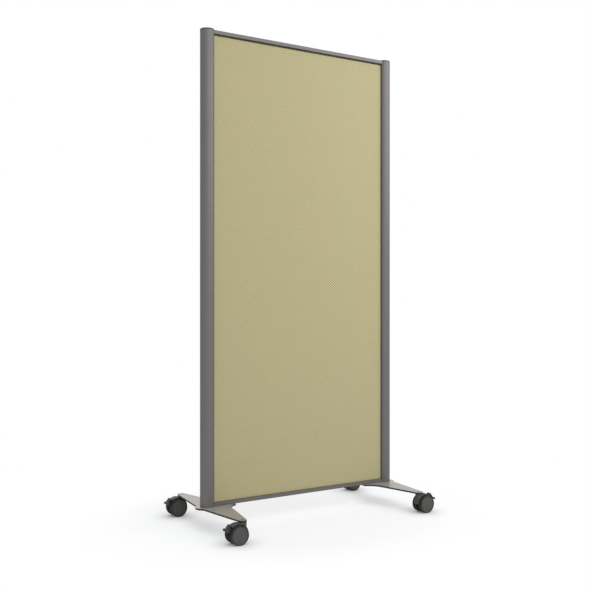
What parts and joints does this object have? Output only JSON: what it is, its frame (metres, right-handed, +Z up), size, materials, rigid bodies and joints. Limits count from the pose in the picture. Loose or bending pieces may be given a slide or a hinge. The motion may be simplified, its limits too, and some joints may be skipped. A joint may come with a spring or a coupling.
{
  "type": "rolling partition",
  "caption": "Free-standing fabric screen in a grey metal frame, on two foot plates with swivelling, locking twin-wheel casters.",
  "frame": {"origin": "on the floor, midway between the two posts and midway between the front and rear casters", "axes": "+X to the right as seen from the front, +Y to the rear, +Z up; the panel lies in the X-Z plane"},
  "size_m": [0.8556, 0.485, 1.675],
  "materials": {
    "frame_paint": "satin warm grey metallic powder coat",
    "foot_paint": "satin grey metallic powder coat",
    "cap_plastic": "fine matt dark grey",
    "aluminium": "as extruded",
    "zinc_steel": "zinc plated",
    "stem_steel": "blackened",
    "board": "raw fibre board",
    "panel_fabric": "coarse woven upholstery in khaki beige",
    "gasket_rubber": "matt dark grey-brown",
    "caster_plastic": "moulded, fine grain",
    "wheel_plastic": "moulded, fine grain",
    "tread_rubber": "matt",
    "lever_plastic": "moulded"
  },
  "bodies": {
    "frame": {"left_post": "frame_paint", "right_post": "frame_paint", "left_post_cap": "cap_plastic", "right_post_cap": "cap_plastic", "left_post_base": "aluminium", "right_post_base": "aluminium", "top_rail": "frame_paint", "bottom_rail": "frame_paint", "rail_blocks": "aluminium", "rail_screws": "zinc_steel", "panel_core": "board", "front_fabric": "panel_fabric", "rear_fabric": "panel_fabric", "left_gasket": "gasket_rubber", "right_gasket": "gasket_rubber", "top_gasket": "gasket_rubber", "panel_screws": "zinc_steel", "left_foot": "foot_paint", "right_foot": "foot_paint", "foot_bolts": "zinc_steel", "stem_rings": "zinc_steel", "front_left_stem": "stem_steel", "rear_left_stem": "stem_steel", "front_right_stem": "stem_steel", "rear_right_stem": "stem_steel"},
    "front_left_swivel": {"front_left_hood": "caster_plastic", "front_left_axle": "zinc_steel", "front_left_brake_pin": "zinc_steel"},
    "front_left_front_roller": {"front_left_front_wheel": "wheel_plastic", "front_left_front_tread": "tread_rubber"},
    "front_left_rear_roller": {"front_left_rear_wheel": "wheel_plastic", "front_left_rear_tread": "tread_rubber"},
    "front_left_brake": {"front_left_brake_lever": "lever_plastic"},
    "rear_left_swivel": {"rear_left_hood": "caster_plastic", "rear_left_axle": "zinc_steel", "rear_left_brake_pin": "zinc_steel"},
    "rear_left_front_roller": {"rear_left_front_wheel": "wheel_plastic", "rear_left_front_tread": "tread_rubber"},
    "rear_left_rear_roller": {"rear_left_rear_wheel": "wheel_plastic", "rear_left_rear_tread": "tread_rubber"},
    "rear_left_brake": {"rear_left_brake_lever": "lever_plastic"},
    "front_right_swivel": {"front_right_hood": "caster_plastic", "front_right_axle": "zinc_steel", "front_right_brake_pin": "zinc_steel"},
    "front_right_front_roller": {"front_right_front_wheel": "wheel_plastic", "front_right_front_tread": "tread_rubber"},
    "front_right_rear_roller": {"front_right_rear_wheel": "wheel_plastic", "front_right_rear_tread": "tread_rubber"},
    "front_right_brake": {"front_right_brake_lever": "lever_plastic"},
    "rear_right_swivel": {"rear_right_hood": "caster_plastic", "rear_right_axle": "zinc_steel", "rear_right_brake_pin": "zinc_steel"},
    "rear_right_front_roller": {"rear_right_front_wheel": "wheel_plastic", "rear_right_front_tread": "tread_rubber"},
    "rear_right_rear_roller": {"rear_right_rear_wheel": "wheel_plastic", "rear_right_rear_tread": "tread_rubber"},
    "rear_right_brake": {"rear_right_brake_lever": "lever_plastic"}
  },
  "joints": [
    {"name": "front_left_swivel_turn", "type": "hinge", "parent": "frame", "child": "front_left_swivel", "pos_m": [-0.366, -0.218, 0.05], "axis": [0, 0, 1], "continuous": true},
    {"name": "front_left_front_wheel_roll", "type": "hinge", "parent": "front_left_swivel", "child": "front_left_front_roller", "pos_m": [-0.386, -0.218, 0.031], "axis": [0, 1, 0], "continuous": true},
    {"name": "front_left_rear_wheel_roll", "type": "hinge", "parent": "front_left_swivel", "child": "front_left_rear_roller", "pos_m": [-0.386, -0.218, 0.031], "axis": [0, 1, 0], "continuous": true},
    {"name": "front_left_brake_press", "type": "hinge", "parent": "front_left_swivel", "child": "front_left_brake", "pos_m": [-0.41673, -0.218, 0.05501], "axis": [0, -1, 0], "range_deg": [0, 9]},
    {"name": "rear_left_swivel_turn", "type": "hinge", "parent": "frame", "child": "rear_left_swivel", "pos_m": [-0.366, 0.218, 0.05], "axis": [0, 0, 1], "continuous": true},
    {"name": "rear_left_front_wheel_roll", "type": "hinge", "parent": "rear_left_swivel", "child": "rear_left_front_roller", "pos_m": [-0.386, 0.218, 0.031], "axis": [0, 1, 0], "continuous": true},
    {"name": "rear_left_rear_wheel_roll", "type": "hinge", "parent": "rear_left_swivel", "child": "rear_left_rear_roller", "pos_m": [-0.386, 0.218, 0.031], "axis": [0, 1, 0], "continuous": true},
    {"name": "rear_left_brake_press", "type": "hinge", "parent": "rear_left_swivel", "child": "rear_left_brake", "pos_m": [-0.41673, 0.218, 0.05501], "axis": [0, -1, 0], "range_deg": [0, 9]},
    {"name": "front_right_swivel_turn", "type": "hinge", "parent": "frame", "child": "front_right_swivel", "pos_m": [0.366, -0.218, 0.05], "axis": [0, 0, 1], "continuous": true},
    {"name": "front_right_front_wheel_roll", "type": "hinge", "parent": "front_right_swivel", "child": "front_right_front_roller", "pos_m": [0.386, -0.218, 0.031], "axis": [0, 1, 0], "continuous": true},
    {"name": "front_right_rear_wheel_roll", "type": "hinge", "parent": "front_right_swivel", "child": "front_right_rear_roller", "pos_m": [0.386, -0.218, 0.031], "axis": [0, 1, 0], "continuous": true},
    {"name": "front_right_brake_press", "type": "hinge", "parent": "front_right_swivel", "child": "front_right_brake", "pos_m": [0.41673, -0.218, 0.05501], "axis": [0, 1, 0], "range_deg": [0, 9]},
    {"name": "rear_right_swivel_turn", "type": "hinge", "parent": "frame", "child": "rear_right_swivel", "pos_m": [0.366, 0.218, 0.05], "axis": [0, 0, 1], "continuous": true},
    {"name": "rear_right_front_wheel_roll", "type": "hinge", "parent": "rear_right_swivel", "child": "rear_right_front_roller", "pos_m": [0.386, 0.218, 0.031], "axis": [0, 1, 0], "continuous": true},
    {"name": "rear_right_rear_wheel_roll", "type": "hinge", "parent": "rear_right_swivel", "child": "rear_right_rear_roller", "pos_m": [0.386, 0.218, 0.031], "axis": [0, 1, 0], "continuous": true},
    {"name": "rear_right_brake_press", "type": "hinge", "parent": "rear_right_swivel", "child": "rear_right_brake", "pos_m": [0.41673, 0.218, 0.05501], "axis": [0, 1, 0], "range_deg": [0, 9]}
  ]
}
